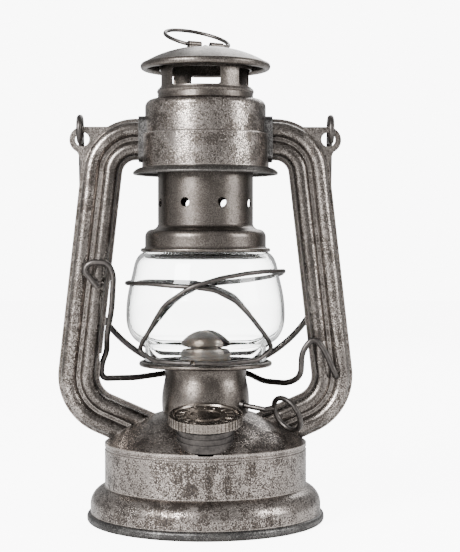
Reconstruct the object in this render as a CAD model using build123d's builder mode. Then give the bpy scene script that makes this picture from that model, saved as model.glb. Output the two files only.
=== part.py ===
from build123d import *
import math
import os

os.makedirs("parts", exist_ok=True)

# A tubular cold-blast hurricane lantern. The origin is the centre of the foot on the floor, +Z is up,
# the filler cap faces -Y and the side tubes stand on the X axis. All dimensions are in millimetres.

# ---------------------------------------------------------------- driving dimensions
sheet = 0.8  # tinplate of the tank, drum and hood
tube_sheet = 0.7  # tinplate of the stamped side tubes
gap = 0.35  # clearance between pieces of different moving bodies

foot_radius = 61.7
foot_height = 4.8
bulge_radius = 59.9
bulge_top = 17.9
wall_radius = 52.5
wall_top = 41.3
dome_top_radius = 22.4
dome_top = 56.3

throat_belly_radius = 22.8
throat_top_radius = 21.1
throat_top = 80.0
plate_bottom = 80.3
plate_top = 81.1
cone_radius = 12.8
cone_base = 86.3
collar_radius = 13.3

globe_neck_radius = 31.5
globe_wall = 1.6
globe_top = 144.0

chimney_radius = 24.8
chimney_bottom = 153.9
chimney_top = 223.8
skirt_radius = 31.5
skirt_bottom = 139.4
drum_radius = 33.0
drum_bottom = 182.6
drum_step = 201.0
canopy_radius = 31.4
canopy_top = 218.5
hood_collar_radius = chimney_radius - sheet
window_low = 224.6
window_high = 233.6
cap_radius = 33.8
cap_rim = 235.7
cap_top = 245.2

tube_half_width = 8.8  # of the two lobes, without the seam flanges
tube_half_depth = 7.5
flange_half_width = 10.75

ring_wire = 2.0
ring_axis_height = 247.0
ring_yaw = 30.0
ring_tilt = 22.6
ring_loop_radius = 17.0
ring_root_half = 12.5

bail_wire = 3.2
bail_axis_height = 203.2
bail_half_width = 65.1
bail_eye_radius = 6.15
bail_lean = 10.5  # the bail hangs down behind the lantern, this far from the vertical

lifter_wire = 3.1
hook_x = 67.3
hook_z = 75.3

guard_wire = 2.3

shaft_azimuth = 64.0  # of the wick shaft, from the front towards +X
shaft_slope = 8.0
shaft_wire = 2.7
shaft_offset = 3.6
shaft_exit_height = 61.1
wick_width = 12.7
wick_thickness = 2.0
wick_clearance = 0.35
handle_radius = 9.15

filler_tilt = 11.0
filler_cap_centre = (0, -42.4, 59.85)
filler_cap_radius = 18.3
filler_neck_radius = 13.9
filler_rib_count = 52


# ---------------------------------------------------------------- shared shapes
def write(piece, name):
    """Label a finished piece and write it as its own STEP file."""
    piece.part.label = name
    export_step(piece.part, f"parts/{name}.step")


def around(azimuth, radius, height):
    """Return the point at an azimuth in degrees from the front, a radius and a height."""
    angle = math.radians(azimuth)
    return Vector(radius * math.sin(angle), -radius * math.cos(angle), height)


def bend_radii(points, share=0.45, largest=60.0):
    """Return a bend radius for each inner point of a wire's route."""
    radii = []
    for before, corner, after in zip(points, points[1:], points[2:]):
        run_in = Vector(*corner) - Vector(*before)
        run_out = Vector(*after) - Vector(*corner)
        turn = math.radians(run_in.get_angle(run_out))
        shorter = min(run_in.length, run_out.length)
        radii.append(min(share * shorter / math.tan(turn / 2), largest))
    return radii


def moved_inwards(outline, distance):
    """Return a rising outline moved sideways towards the axis, square to its own direction."""
    inner = [(outline[0][0] - distance, outline[0][1])]
    for before, point, after in zip(outline, outline[1:], outline[2:]):
        run = Vector(after[0] - before[0], after[1] - before[1]).normalized()
        inner.append((point[0] - run.Y * distance, point[1] + run.X * distance))
    inner.append((outline[-1][0] - distance, outline[-1][1]))
    return inner


def along(path):
    """Return the plane square to the start of a path."""
    return Plane(origin=path.line @ 0, z_dir=path.line % 0)


filler_plane = Plane(
    origin=filler_cap_centre,
    x_dir=(1, 0, 0),
    z_dir=(0, -math.sin(math.radians(filler_tilt)), math.cos(math.radians(filler_tilt))),
)

with BuildLine(Plane.XZ) as tube_path:
    FilletPolyline((29.0, 198.0), (52.1, 198.0), (67.7, 62.0), (28.8, 44.7), radius=[18.0, 21.4])

tube_start = Plane(origin=tube_path.line @ 0, x_dir=(0, 0, 1), z_dir=(1, 0, 0))

# The tank's dome is part of a sphere through its shoulder and its flat top.
shoulder_radius = wall_radius - 1.0
shoulder_height = wall_top + 0.3
dome_centre = ((dome_top**2 + dome_top_radius**2 - shoulder_height**2 - shoulder_radius**2)
               / (2 * (dome_top - shoulder_height)))
dome_sphere = math.hypot(dome_top_radius, dome_top - dome_centre)


def dome_blank(inset):
    """Return the filled form under the dome's surface, or under a surface a little inside it."""
    with BuildPart() as blank:
        with Locations((0, 0, dome_centre)):
            Sphere(dome_sphere - inset)
        with BuildSketch(Plane.XY):
            Circle(wall_radius - inset)
        extrude(amount=dome_top - inset, mode=Mode.INTERSECT)
    return blank.part


# The side tubes, the filler neck and the throat stop at the dome's outer form.
dome_form = dome_blank(0)

# The filled outer form of the drum, which the side tubes stop at.
with BuildPart() as drum_outer_form:
    with BuildSketch(Plane.XY.offset(drum_bottom)):
        Circle(drum_radius)
    extrude(amount=drum_step - drum_bottom)
    with BuildSketch(Plane.XY.offset(drum_step)):
        Circle(canopy_radius)
    extrude(amount=canopy_top - drum_step)

# The air passage inside a side tube, used to open the drum and the dome where the tube joins them.
with BuildPart() as right_passage:
    with BuildSketch(tube_start):
        Rectangle(2 * tube_half_width - 2.4, 2 * tube_half_depth - 2.4)
        fillet(vertices(), 4.0)
    sweep(path=tube_path.line)

with BuildPart() as left_passage:
    mirror(right_passage.part, about=Plane.YZ)


# The wick stands on the axis, and its shaft passes beside it, square to nothing but the wick's face.
shaft_sin = math.sin(math.radians(shaft_azimuth))
shaft_cos = math.cos(math.radians(shaft_azimuth))
slope = math.radians(shaft_slope)
shaft_direction = Vector(math.cos(slope) * shaft_sin, -math.cos(slope) * shaft_cos, -math.sin(slope))
wick_side = Vector(-shaft_cos, -shaft_sin, 0)  # from the wick's face towards the shaft
exit_run = math.sqrt(throat_belly_radius**2 - shaft_offset**2)
shaft_exit = Vector(shaft_sin * exit_run, -shaft_cos * exit_run,
                    shaft_exit_height) + wick_side * shaft_offset
shaft_centre = shaft_exit - shaft_direction * (exit_run / math.cos(slope))
shaft_plane = Plane(origin=shaft_centre, z_dir=shaft_direction)
wick_plane = Plane(origin=(0, 0, 0), x_dir=(shaft_sin, -shaft_cos, 0), z_dir=(0, 0, 1))
wick_tube_length = wick_width + 2 * wick_clearance + 1.2
wick_tube_depth = wick_thickness + 2 * wick_clearance + 1.2


# ---------------------------------------------------------------- tank
with BuildPart() as foot_ring:
    with BuildSketch(Plane.XZ):
        with Locations((foot_radius - 2.4, foot_height / 2)):
            RectangleRounded(4.8, foot_height, 1.9)
    revolve(axis=Axis.Z)
write(foot_ring, "foot_ring")

with BuildPart() as tank_shell:
    with BuildSketch(Plane.XZ):
        with BuildLine():
            Line((bulge_radius, foot_height), (bulge_radius, 8.0))
            ThreePointArc((bulge_radius, 8.0), (58.1, 14.6), (53.9, bulge_top))
            Polyline((53.9, bulge_top), (wall_radius, bulge_top + 0.5), (wall_radius, 37.2),
                     (wall_radius - 0.5, 37.8),
                     (wall_radius - 0.5, 38.4), (wall_radius, 39.0), (wall_radius, wall_top - 1.2))
            offset(amount=sheet, side=Side.LEFT)
        make_face()
    revolve(axis=Axis.Z)
write(tank_shell, "tank_shell")

with BuildPart() as tank_bottom:
    with BuildSketch(Plane.XZ):
        with BuildLine():
            Polyline((0, 8.2), (18.0, 8.2), (20.0, 7.2), (46.0, 7.2), (50.0, 5.6),
                     (bulge_radius - sheet - 0.02, 5.6))
            offset(amount=sheet, side=Side.LEFT)
        make_face()
    revolve(axis=Axis.Z)
write(tank_bottom, "tank_bottom")

with BuildPart() as tank_dome:
    add(dome_form)
    add(dome_blank(sheet), mode=Mode.SUBTRACT)
    with BuildSketch(Plane.XY.offset(wall_top - 1.2)):
        Circle(foot_radius)
    extrude(amount=-foot_radius, mode=Mode.SUBTRACT)
    with BuildSketch(Plane.XY.offset(dome_top)):
        Circle(18.0)
    extrude(amount=-3 * sheet, mode=Mode.SUBTRACT)
    with Locations(filler_plane):
        Cylinder(filler_neck_radius + 0.1, 48.0, mode=Mode.SUBTRACT)
    add(right_passage.part, mode=Mode.SUBTRACT)
    add(left_passage.part, mode=Mode.SUBTRACT)
write(tank_dome, "tank_dome")

# A covered channel under the dome carries the air from both side tubes to the burner.
duct_half_width = 9.0
duct_floor = 34.0
with BuildPart() as air_duct:
    with BuildSketch(Plane.XY.offset(duct_floor)):
        SlotOverall(98.0, 2 * duct_half_width + 2 * sheet)
    extrude(amount=dome_top - duct_floor)
    with BuildSketch(Plane.XY.offset(duct_floor + sheet)):
        SlotOverall(98.0 - 2 * sheet, 2 * duct_half_width)
    extrude(amount=dome_top - duct_floor, mode=Mode.SUBTRACT)
    add(dome_blank(sheet + 0.03), mode=Mode.INTERSECT)
    with BuildSketch(wick_plane.offset(duct_floor - 1)):
        RectangleRounded(wick_tube_length, wick_tube_depth, 1.2)
    extrude(amount=3.0, mode=Mode.SUBTRACT)
write(air_duct, "air_duct")


# ---------------------------------------------------------------- filler
neck_top = -1.7
neck_bottom = -16.2
with BuildPart() as filler_neck:
    for level in (-3.5, -6.4, -9.2, -12.0):
        with BuildSketch(filler_plane.offset(level)):
            Circle(filler_neck_radius + 0.55)
            Circle(filler_neck_radius - 0.3, mode=Mode.SUBTRACT)
        extrude(amount=-1.2)
    add(dome_form, mode=Mode.SUBTRACT)
    with BuildSketch(filler_plane.offset(neck_top)):
        Circle(filler_neck_radius)
        Circle(filler_neck_radius - sheet, mode=Mode.SUBTRACT)
    extrude(amount=neck_bottom - neck_top)
write(filler_neck, "filler_neck")

with BuildPart() as filler_cap:
    cap_height = 4.4
    with BuildSketch(filler_plane):
        Circle(filler_cap_radius - 0.35)
    extrude(amount=-cap_height)
    with BuildSketch(filler_plane):
        with PolarLocations(filler_cap_radius - 0.45, filler_rib_count):
            Rectangle(0.9, 1.2)
    extrude(amount=-cap_height)
    with BuildSketch(filler_plane.offset(-cap_height)):
        Circle(filler_neck_radius + 0.55 + gap)
    extrude(amount=cap_height - 0.9, mode=Mode.SUBTRACT)
    with BuildSketch(filler_plane):
        Circle(filler_cap_radius - 2.2)
    extrude(amount=-0.7, taper=30, mode=Mode.SUBTRACT)
    with BuildSketch(filler_plane.offset(-0.7)):
        Circle(9.0)
        Circle(7.6, mode=Mode.SUBTRACT)
    extrude(amount=0.5)
write(filler_cap, "filler_cap")

with BuildPart() as filler_gasket:
    with BuildSketch(filler_plane.offset(-0.95)):
        Circle(filler_neck_radius + 0.1)
        Circle(filler_neck_radius - 3.0, mode=Mode.SUBTRACT)
    extrude(amount=-0.7)
write(filler_gasket, "filler_gasket")


# ---------------------------------------------------------------- burner
bush_radius = shaft_wire / 2 + 1.1
bush_plane = shaft_plane.offset(exit_run - 3.0)
throat_outline = [(22.35, dome_top + 0.02), (throat_belly_radius, 62.6), (21.9, 70.5),
                  (throat_top_radius, 76.5)]
with BuildPart() as burner_throat:
    with BuildSketch(Plane.XZ):
        throat_inside = moved_inwards(throat_outline, sheet)
        with BuildLine():
            Spline(*throat_outline, tangents=((0.16, 1), (0, 1)))
            Polyline(throat_outline[-1], (throat_top_radius, throat_top),
                     (throat_top_radius - sheet, throat_top),
                     throat_inside[-1])
            Spline(*throat_inside, tangents=((0.16, 1), (0, 1)))
            Line(throat_inside[0], throat_outline[0])
        make_face()
    revolve(axis=Axis.Z)
    with BuildSketch(bush_plane):
        Circle(bush_radius)
    extrude(amount=4.6, mode=Mode.SUBTRACT)
write(burner_throat, "burner_throat")

# The bush that the shaft turns in, pressed into the wall of the throat.
with BuildPart() as shaft_bush:
    with BuildSketch(bush_plane):
        Circle(bush_radius)
        Circle(shaft_wire / 2 + 0.08, mode=Mode.SUBTRACT)
    extrude(amount=4.6)
write(shaft_bush, "shaft_bush")

with BuildPart() as wick_tube:
    with BuildSketch(wick_plane.offset(duct_floor - 2)):
        RectangleRounded(wick_tube_length, wick_tube_depth, 1.2)
        RectangleRounded(wick_width + 2 * wick_clearance, wick_thickness + 2 * wick_clearance, 0.5,
                         mode=Mode.SUBTRACT)
    extrude(amount=88.5 - duct_floor + 2)
    with BuildSketch(wick_plane.offset(shaft_centre.Z - 5.0)):
        with Locations((0, -3.0)):
            Rectangle(10.4, 5.0)
    extrude(amount=10.0, mode=Mode.SUBTRACT)
write(wick_tube, "wick_tube")

with BuildPart() as wick:
    with BuildSketch(wick_plane.offset(14.0)):
        RectangleRounded(wick_width, wick_thickness, 0.6)
    extrude(amount=76.5)
write(wick, "wick")

with BuildPart() as burner_deck:
    with BuildSketch(Plane.XY.offset(77.6)):
        Circle(throat_top_radius - sheet)
        with PolarLocations(17.3, 24):
            Circle(1.2, mode=Mode.SUBTRACT)
        with PolarLocations(10.6, 12, start_angle=15 - (90 - shaft_azimuth)):
            Circle(1.0, mode=Mode.SUBTRACT)
    extrude(amount=0.9)
    with BuildSketch(wick_plane.offset(77.0)):
        RectangleRounded(wick_tube_length, wick_tube_depth, 1.2)
    extrude(amount=3.0, mode=Mode.SUBTRACT)
write(burner_deck, "burner_deck")

with BuildPart() as burner_seat:
    with BuildSketch(Plane.XY.offset(dome_top - sheet)):
        Circle(18.0)
        with PolarLocations(13.0, 10):
            Circle(2.2, mode=Mode.SUBTRACT)
    extrude(amount=sheet)
    with BuildSketch(wick_plane.offset(dome_top - 2)):
        RectangleRounded(wick_tube_length, wick_tube_depth, 1.2)
    extrude(amount=4.0, mode=Mode.SUBTRACT)
write(burner_seat, "burner_seat")

with BuildPart() as cone_collar:
    with BuildSketch(Plane.XZ):
        with BuildLine():
            Polyline((12.9, 78.5), (12.9, 81.0), (collar_radius, 81.6), (12.9, 82.2), (12.9, 83.0),
                     (collar_radius, 83.6),
                     (12.9, 84.2), (12.9, 85.4), (collar_radius + 0.3, 85.8),
                     (collar_radius + 0.3, cone_base))
            offset(amount=0.6, side=Side.LEFT)
        make_face()
    revolve(axis=Axis.Z)
write(cone_collar, "cone_collar")

with BuildPart() as burner_cone:
    with Locations((0, 0, cone_base)):
        Sphere(cone_radius)
        Sphere(cone_radius - 0.7, mode=Mode.SUBTRACT)
    with BuildSketch(Plane.XY.offset(cone_base)):
        Circle(40)
    extrude(amount=-40, mode=Mode.SUBTRACT)
    with BuildSketch(Plane.XY.offset(cone_base)):
        Circle(collar_radius + 0.3)
        Circle(cone_radius - 0.7, mode=Mode.SUBTRACT)
    extrude(amount=0.5)
    with BuildSketch(wick_plane.offset(cone_base + 0.9)):
        SlotOverall(40, 7.0)
    extrude(amount=20, mode=Mode.SUBTRACT)
write(burner_cone, "burner_cone")

# The shaft carries two star wheels against the wick and ends in a ring for the fingers.
wheel_radius = shaft_offset - wick_thickness / 2 - 0.3
with BuildPart() as wick_wheels:
    for place in (-3.6, 1.8):
        with BuildSketch(shaft_plane.offset(place)):
            Circle(wheel_radius - 0.5)
            with PolarLocations(wheel_radius - 0.55, 10):
                RegularPolygon(0.55, 3)
            Circle(shaft_wire / 2 - 0.5, mode=Mode.SUBTRACT)
        extrude(amount=1.8)
write(wick_wheels, "wick_wheels")

handle_run = exit_run + 25.6
handle_centre = shaft_centre + shaft_direction * handle_run
handle_normal = Vector(0.72, 0.56, 0.41).normalized()
handle_inward = (shaft_direction - handle_normal * shaft_direction.dot(handle_normal)).normalized() * -1
handle_joint = handle_centre + handle_inward * handle_radius
bend_point = shaft_centre + shaft_direction * (handle_run - 12.5)
with BuildPart() as wick_shaft:
    with BuildSketch(shaft_plane.offset(-8.0)):
        Circle(shaft_wire / 2 - 0.5)
    extrude(amount=12.6)
    with BuildSketch(shaft_plane.offset(4.6)):
        Circle(shaft_wire / 2)
    extrude(amount=handle_run - 12.5 - 4.6)
    with Locations(bend_point):
        Sphere(shaft_wire / 2)
    with BuildSketch(Plane(origin=bend_point, z_dir=handle_joint - bend_point)):
        Circle(shaft_wire / 2)
    extrude(amount=(handle_joint - bend_point).length)
    with Locations(Plane(origin=handle_centre, z_dir=handle_normal)):
        Torus(handle_radius, shaft_wire / 2)
write(wick_shaft, "wick_shaft")


# ---------------------------------------------------------------- globe, its plate and its guard
with BuildPart() as globe_plate:
    with BuildSketch(Plane.XZ):
        with BuildLine():
            Polyline((14.1, plate_bottom), (33.2, plate_bottom), (33.2, plate_top),
                     (14.1, plate_top), (14.1, plate_bottom))
        make_face()
        with Locations((33.4, 81.5)):
            Circle(1.3)
    revolve(axis=Axis.Z)
    with BuildSketch(Plane.XY.offset(plate_bottom)):
        with PolarLocations(25.6, 30):
            Circle(1.1)
        with PolarLocations(18.6, 20):
            Circle(1.1)
    extrude(amount=plate_top - plate_bottom, mode=Mode.SUBTRACT)
write(globe_plate, "globe_plate")

globe_outline = [
    (globe_neck_radius, 89.6), (34.0, 92.2), (38.0, 95.4), (40.9, 102.0), (41.3, 107.0), (40.0, 120.0),
    (37.9, 129.0), (35.9, 136.0), (33.5, 138.8), (31.0, 139.9), (30.1, 141.6),
]
with BuildPart() as globe:
    with BuildSketch(Plane.XZ):
        globe_inside = moved_inwards(globe_outline, globe_wall)
        with BuildLine():
            Polyline((30.9, plate_top), (globe_neck_radius, plate_top + 0.9), globe_outline[0])
            Spline(*globe_outline, tangents=((0, 1), (0, 1)))
            Polyline(globe_outline[-1], (30.1, globe_top), (30.1 - globe_wall, globe_top),
                     globe_inside[-1])
            Spline(*globe_inside, tangents=((0, 1), (0, 1)))
            Polyline(globe_inside[0], (globe_neck_radius - globe_wall, plate_top), (30.9, plate_top))
        make_face()
    revolve(axis=Axis.Z)
write(globe, "globe")

# The guard is one wire round the globe, open at the front of the plate where its ends meet.
# Each row is an azimuth in degrees from the front, a radius and a height.
guard_keys = [
    (-8.5, 36.0, 84.2), (20, 36.0, 84.2), (46, 36.2, 85.0), (62, 38.0, 90.5), (42.8, 42.0, 99.5),
    (31.1, 42.8, 108.0),
    (20.3, 42.3, 115.5), (6.5, 41.6, 120.7), (-8, 41.1, 122.3), (-25.4, 41.0, 122.9),
    (-42.5, 41.0, 123.7),
    (-90, 40.9, 123.4), (-127.4, 41.0, 123.8), (-171.8, 41.1, 122.5), (-185, 41.5, 120.7),
    (-201.4, 42.2, 116.0),
    (-212, 42.8, 108.0), (-222.8, 42.0, 99.5), (-242.0, 38.0, 90.5), (-226, 36.2, 85.0),
    (-205, 36.0, 84.2),
    (-155, 36.0, 84.2), (-134, 36.2, 85.0), (-118, 38.0, 90.5), (-137.2, 42.0, 99.5), (-149, 42.9, 108.0),
    (-161, 43.0, 115.5), (-174, 43.4, 120.2), (-188.7, 43.6, 122.4), (-212.3, 42.6, 124.0),
    (-252.2, 41.0, 127.6),
    (-270, 40.6, 129.6), (-312, 40.4, 129.9), (-330.1, 41.2, 129.0), (-349, 42.8, 127.0),
    (-369, 43.6, 122.6),
    (-388, 43.2, 113.4), (-402, 42.2, 99.6), (-422, 38.0, 89.5), (-406, 36.2, 84.8), (-385, 36.0, 84.2),
    (-372, 36.0, 84.2),
]
longest_step = 13.0
guard_points = []
for (azimuth_a, radius_a, height_a), (azimuth_b, radius_b, height_b) in zip(guard_keys, guard_keys[1:]):
    steps = max(1, math.ceil(abs(azimuth_b - azimuth_a) / longest_step))
    for step in range(steps):
        share = step / steps
        guard_points.append(around(
            azimuth_a + (azimuth_b - azimuth_a) * share,
            radius_a + (radius_b - radius_a) * share + 0.2,
            height_a + (height_b - height_a) * share,
        ))
guard_points.append(around(*guard_keys[-1]))
with BuildPart() as globe_guard:
    with BuildLine() as guard_path:
        FilletPolyline(*guard_points, radius=bend_radii(guard_points))
    with BuildSketch(along(guard_path)):
        Circle(guard_wire / 2)
    sweep(path=guard_path.line)
write(globe_guard, "globe_guard")

# The lifter wire: a thumb loop before the left tube, a run behind the throat and under the plate,
# and a sprung bend that ends in a hook through the front of the right tube.
lifter_points = [
    (-55.4, -10.8, 121.5), (-62.6, -10.8, 130.4), (-59.0, -10.8, 134.4), (-50.2, -10.8, 134.2),
    (-47.2, -10.8, 128.0),
    (-48.2, -10.6, 110.0), (-51.0, -6.6, 97.0), (-51.6, 2.2, 87.6), (-54.4, 4.4, 81.0),
    (-54.8, 4.8, 73.2),
    (-37.0, 12.0, 73.0), (-22.0, 20.8, 74.4), (-9.0, 25.6, 77.2), (9.0, 25.6, 77.2), (22.0, 19.6, 74.9),
    (30.6, 10.0, 71.2), (43.0, -3.0, 71.2), (49.2, -8.6, 75.2), (49.6, -10.6, 88.5), (55.9, -10.8, 96.0),
    (61.2, -10.8, 89.0), (hook_x, -10.8, hook_z), (hook_x, -3.2, hook_z),
]
lifter_radii = bend_radii(lifter_points, share=0.46, largest=30.0)
with BuildPart() as globe_lifter:
    with BuildLine() as lifter_path:
        FilletPolyline(*lifter_points, radius=lifter_radii)
    with BuildSketch(along(lifter_path)):
        Circle(lifter_wire / 2)
    sweep(path=lifter_path.line)
write(globe_lifter, "globe_lifter")


# ---------------------------------------------------------------- side tubes
lobe_centre = 4.9
lobe_radius = 3.9
groove_half = 0.9
groove_bottom = 4.3
lobe_end_angle = math.radians(20)
with BuildPart() as right_tube_front:
    with BuildSketch(tube_start):
        with BuildLine():
            for side in (-1, 1):
                Polyline((side * flange_half_width, 0), (side * flange_half_width, tube_sheet),
                         (side * tube_half_width, tube_sheet),
                         (side * tube_half_width, tube_half_depth - lobe_radius))
                lobe_end = (side * (lobe_centre - lobe_radius * math.cos(lobe_end_angle)),
                            tube_half_depth - lobe_radius + lobe_radius * math.sin(lobe_end_angle))
                ThreePointArc((side * tube_half_width, tube_half_depth - lobe_radius),
                              (side * lobe_centre, tube_half_depth), lobe_end)
                Line(lobe_end, (side * groove_half, groove_bottom))
            Line((-groove_half, groove_bottom), (groove_half, groove_bottom))
            Line((-flange_half_width, 0), (flange_half_width, 0))
        make_face()
        with BuildLine():
            inner_radius = lobe_radius - tube_sheet
            for side in (-1, 1):
                Line((side * (tube_half_width - tube_sheet), 0),
                     (side * (tube_half_width - tube_sheet), tube_half_depth - lobe_radius))
                lobe_end = (side * (lobe_centre - inner_radius * math.cos(lobe_end_angle)),
                            tube_half_depth - lobe_radius + inner_radius * math.sin(lobe_end_angle))
                ThreePointArc((side * (tube_half_width - tube_sheet), tube_half_depth - lobe_radius),
                              (side * lobe_centre, tube_half_depth - tube_sheet), lobe_end)
                Line(lobe_end, (side * groove_half, groove_bottom - tube_sheet))
            Line((-groove_half, groove_bottom - tube_sheet), (groove_half, groove_bottom - tube_sheet))
            Line((tube_sheet - tube_half_width, 0), (tube_half_width - tube_sheet, 0))
        make_face(mode=Mode.SUBTRACT)
    sweep(path=tube_path.line)
    add(dome_form, mode=Mode.SUBTRACT)
    add(drum_outer_form.part, mode=Mode.SUBTRACT)

# The catch of the globe lifter is a notch in the inner seam of the left tube.
notch_centre = (-53.9, 0, 84.5)
notch_size = (2.4, 4.0, 4.2)

with BuildPart() as left_tube_front:
    mirror(right_tube_front.part, about=Plane.YZ)
    with Locations(notch_centre):
        Box(*notch_size, mode=Mode.SUBTRACT)
write(left_tube_front, "left_tube_front")

with BuildPart() as right_tube_back:
    mirror(right_tube_front.part, about=Plane.XZ)
write(right_tube_back, "right_tube_back")

with BuildPart() as left_tube_back:
    mirror(right_tube_back.part, about=Plane.YZ)
    with Locations(notch_centre):
        Box(*notch_size, mode=Mode.SUBTRACT)
write(left_tube_back, "left_tube_back")

with right_tube_front:
    with BuildSketch(Plane(origin=(hook_x, 0, hook_z), x_dir=(1, 0, 0), z_dir=(0, -1, 0))):
        Circle(lifter_wire / 2 + 0.08)
    extrude(amount=20, mode=Mode.SUBTRACT)
write(right_tube_front, "right_tube_front")

# A band closes the joint between each tube and the drum.
with BuildPart() as right_tube_collar:
    with BuildSketch(Plane(origin=(30.0, 0, 198.0), x_dir=(0, 0, 1), z_dir=(1, 0, 0))):
        RectangleRounded(2 * flange_half_width + 2.0, 2 * tube_half_depth + 2.2, 4.0)
        RectangleRounded(2 * flange_half_width + 0.1, 2 * tube_half_depth + 0.1, 3.4, mode=Mode.SUBTRACT)
    extrude(amount=4.6)
    add(drum_outer_form.part, mode=Mode.SUBTRACT)
write(right_tube_collar, "right_tube_collar")

with BuildPart() as left_tube_collar:
    mirror(right_tube_collar.part, about=Plane.YZ)
write(left_tube_collar, "left_tube_collar")

# The ears that carry the bail stand on the seam at the top bends.
ear_hole = (64.0, 198.0)
with BuildPart() as right_bail_ear:
    with BuildSketch(Plane.XZ.offset(-0.8)):
        with BuildLine():
            Polyline((50.0, 204.6), (64.0, 204.6))
            ThreePointArc((64.0, 204.6), (70.6, 198.6), (66.8, 191.6))
            Polyline((66.8, 191.6), (63.4, 184.6), (50.0, 184.6), (50.0, 204.6))
        make_face()
        with Locations(ear_hole):
            Circle(3.7, mode=Mode.SUBTRACT)
    extrude(amount=1.6)
    for face in (-1, 1):
        with BuildSketch(Plane.XZ.offset(0.8 * face)):
            with Locations(ear_hole):
                Circle(4.9)
                Circle(3.7, mode=Mode.SUBTRACT)
        extrude(amount=0.5 * face)
    with BuildSketch(tube_start):
        Rectangle(2 * flange_half_width + 0.04, 40)
    sweep(path=tube_path.line, mode=Mode.SUBTRACT)
write(right_bail_ear, "right_bail_ear")

with BuildPart() as left_bail_ear:
    mirror(right_bail_ear.part, about=Plane.YZ)
write(left_bail_ear, "left_bail_ear")


# ---------------------------------------------------------------- drum
with BuildPart() as drum_floor:
    with BuildSketch(Plane.XZ):
        with BuildLine():
            Line((chimney_radius + 0.6, drum_bottom), (drum_radius - 0.3, drum_bottom))
            ThreePointArc((drum_radius - 0.3, drum_bottom), (35.6, 181.7), (37.2, 180.3))
            offset(amount=sheet, side=Side.LEFT)
        make_face()
        with Locations((37.0, 180.4)):
            Circle(0.75)
    revolve(axis=Axis.Z)
    with BuildSketch(Plane.XY.offset(drum_bottom - 0.1)):
        with PolarLocations(29.2, 24):
            Circle(1.4)
    extrude(amount=sheet + 0.2, mode=Mode.SUBTRACT)
write(drum_floor, "drum_floor")

with BuildPart() as drum_band:
    with BuildSketch(Plane.YZ):
        with BuildLine():
            Polyline((drum_radius, drum_bottom + sheet + 0.02), (drum_radius, drum_step - 0.6),
                     (drum_radius - 0.6, drum_step), (canopy_radius + 0.02, drum_step),
                     (canopy_radius + 0.02, drum_step - 0.9), (drum_radius - sheet, drum_step - 0.9),
                     (drum_radius - sheet, drum_bottom + sheet + 0.02),
                     (drum_radius, drum_bottom + sheet + 0.02))
        make_face()
    revolve(axis=Axis.Z)
    add(right_passage.part, mode=Mode.SUBTRACT)
    add(left_passage.part, mode=Mode.SUBTRACT)
write(drum_band, "drum_band")

with BuildPart() as drum_canopy:
    with BuildSketch(Plane.YZ):
        with BuildLine():
            Line((canopy_radius, drum_step - 2.6), (canopy_radius, canopy_top - 4.0))
            ThreePointArc((canopy_radius, canopy_top - 4.0), (canopy_radius - 1.17, canopy_top - 1.17),
                          (canopy_radius - 4.0, canopy_top))
            Line((canopy_radius - 4.0, canopy_top), (chimney_radius + 0.5, canopy_top))
            offset(amount=sheet, side=Side.LEFT)
        make_face()
    revolve(axis=Axis.Z)
    add(right_passage.part, mode=Mode.SUBTRACT)
    add(left_passage.part, mode=Mode.SUBTRACT)
write(drum_canopy, "drum_canopy")

# A coil spring in the drum presses the sliding chimney down on to the globe.
with BuildPart() as hood_spring:
    with BuildLine() as coil:
        Helix(pitch=7.4, height=29.6, radius=28.6, center=(0, 0, 186.6))
    with BuildSketch(along(coil)):
        Circle(0.6)
    sweep(path=coil.line)
write(hood_spring, "hood_spring")

with BuildPart() as spring_seat:
    with BuildSketch(Plane.XY.offset(184.4)):
        Circle(29.6)
        Circle(chimney_radius, mode=Mode.SUBTRACT)
    extrude(amount=0.8)
write(spring_seat, "spring_seat")


# ---------------------------------------------------------------- chimney and hood
with BuildPart() as chimney_tube:
    with BuildSketch(Plane.XZ):
        with BuildLine():
            Polyline((chimney_radius, chimney_bottom), (chimney_radius, chimney_top - 2.4),
                     (chimney_radius + 0.5, chimney_top - 1.2), (chimney_radius, chimney_top),
                     (chimney_radius - sheet, chimney_top), (chimney_radius - sheet, chimney_bottom),
                     (chimney_radius, chimney_bottom))
        make_face()
    revolve(axis=Axis.Z)
    for hole in range(8):
        azimuth = math.radians(20 + 45 * hole)
        with BuildSketch(Plane(origin=(0, 0, 165.0), z_dir=(math.sin(azimuth), -math.cos(azimuth), 0))):
            Circle(2.4)
        extrude(amount=40, mode=Mode.SUBTRACT)
write(chimney_tube, "chimney_tube")

with BuildPart() as chimney_skirt:
    with BuildSketch(Plane.XZ):
        with BuildLine():
            Line((skirt_radius + 0.9, 140.9), (skirt_radius, 142.4))
            Line((skirt_radius, 142.4), (skirt_radius, 147.4))
            ThreePointArc((skirt_radius, 147.4), (30.6, 149.9), (28.3, 151.3))
            ThreePointArc((28.3, 151.3), (25.8, 152.2), (chimney_radius, chimney_bottom - 0.05))
            Line((chimney_radius, chimney_bottom - 0.05),
                 (chimney_radius - sheet - 0.02, chimney_bottom - 0.05))
            Line((chimney_radius - sheet - 0.02, chimney_bottom - 0.05),
                 (chimney_radius - sheet - 0.02, 160.0))
            offset(amount=sheet, side=Side.LEFT)
        make_face()
        with Locations((skirt_radius + 1.2, skirt_bottom + 1.15)):
            Circle(1.1)
    revolve(axis=Axis.Z)
write(chimney_skirt, "chimney_skirt")

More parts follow.
